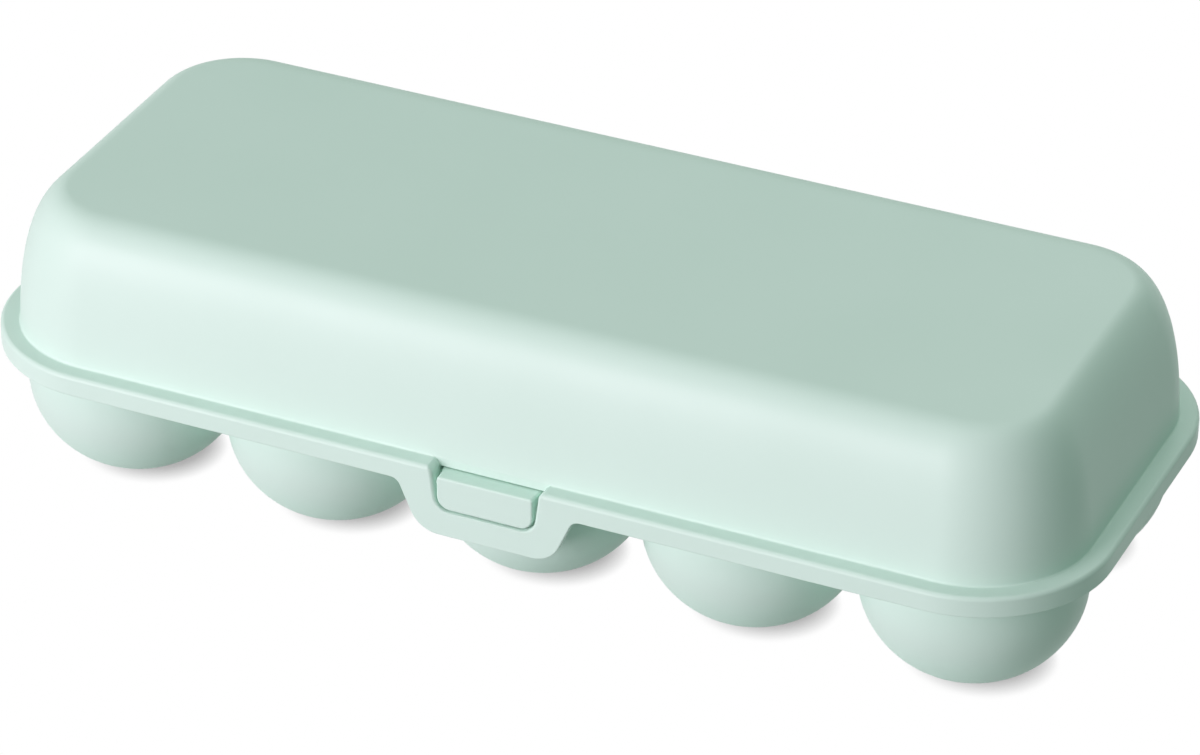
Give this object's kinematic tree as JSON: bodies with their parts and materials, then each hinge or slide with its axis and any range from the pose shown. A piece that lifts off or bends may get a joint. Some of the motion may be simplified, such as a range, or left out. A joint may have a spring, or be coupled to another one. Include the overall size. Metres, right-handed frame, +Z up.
{
  "type": "egg box",
  "caption": "Hinged plastic egg box: round cups in a tray under a domed lid, closed by a front flap that snaps over a catch.",
  "frame": {"origin": "on the surface that the cups stand on, under the middle of the closed box's bounding box", "axes": "+X along the box to the right as seen from the latch, +Y from the latch towards the hinge, +Z up"},
  "size_m": [0.2606, 0.1168, 0.068],
  "materials": {
    "lid_plastic": "pale mint-green polypropylene, injection moulded, fine satin texture",
    "tray_plastic": "pale mint-green polypropylene, injection moulded, fine satin texture"
  },
  "bodies": {
    "tray": {"tray_rim": "tray_plastic", "latch_catch": "tray_plastic", "egg_cup_front_1": "tray_plastic", "egg_cup_front_2": "tray_plastic", "egg_cup_front_3": "tray_plastic", "egg_cup_front_4": "tray_plastic", "egg_cup_front_5": "tray_plastic", "egg_cup_rear_1": "tray_plastic", "egg_cup_rear_2": "tray_plastic", "egg_cup_rear_3": "tray_plastic", "egg_cup_rear_4": "tray_plastic", "egg_cup_rear_5": "tray_plastic", "tray_hinge_bracket_left": "tray_plastic", "hinge_bar_left": "tray_plastic", "tray_hinge_bracket_right": "tray_plastic", "hinge_bar_right": "tray_plastic"},
    "lid": {"lid_cover": "lid_plastic", "lid_rim": "lid_plastic", "lid_hinge_clip_left": "lid_plastic", "lid_hinge_clip_right": "lid_plastic"},
    "flap": {"front_flap": "lid_plastic"}
  },
  "joints": [
    {"name": "lid_hinge", "type": "hinge", "parent": "tray", "child": "lid", "pos_m": [0, 0.0555, 0.0304], "axis": [-1, 0, 0], "range_deg": [0, 150], "deforming": ["front_flap"]},
    {"name": "flap_flex", "type": "hinge", "parent": "lid", "child": "flap", "pos_m": [0, -0.0584, 0.0305], "axis": [-1, 0, 0], "range_deg": [0, 24], "stiffness_Nm_per_rad": 0.1}
  ]
}
